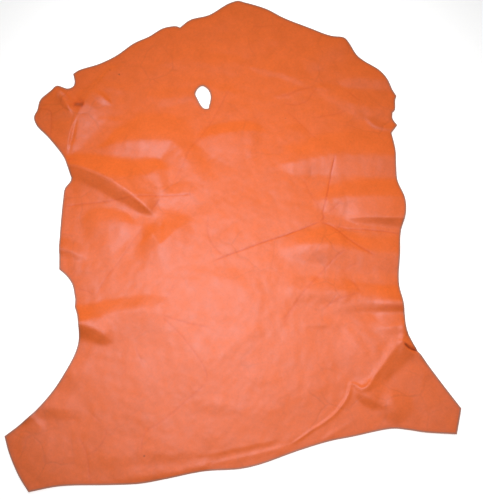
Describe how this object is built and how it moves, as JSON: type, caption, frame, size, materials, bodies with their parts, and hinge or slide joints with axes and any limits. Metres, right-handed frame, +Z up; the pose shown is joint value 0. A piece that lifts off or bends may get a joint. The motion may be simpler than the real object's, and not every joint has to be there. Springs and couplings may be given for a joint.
{
  "type": "leather hide",
  "caption": "Whole cut and tanned leather hide lying grain side up, in low folds, with an uneven edge, stubs of the legs and a small flaw hole.",
  "frame": {"origin": "middle of the hide's bounding box, on the surface that it lies on", "axes": "+Y from the hind legs to the neck, +X to the right as seen from above with the neck away, +Z up off the surface"},
  "size_m": [0.764, 0.919, 0.0141],
  "materials": {
    "leather": "satin, fine grain"
  },
  "bodies": {
    "root": {"hide": "leather"}
  },
  "joints": []
}
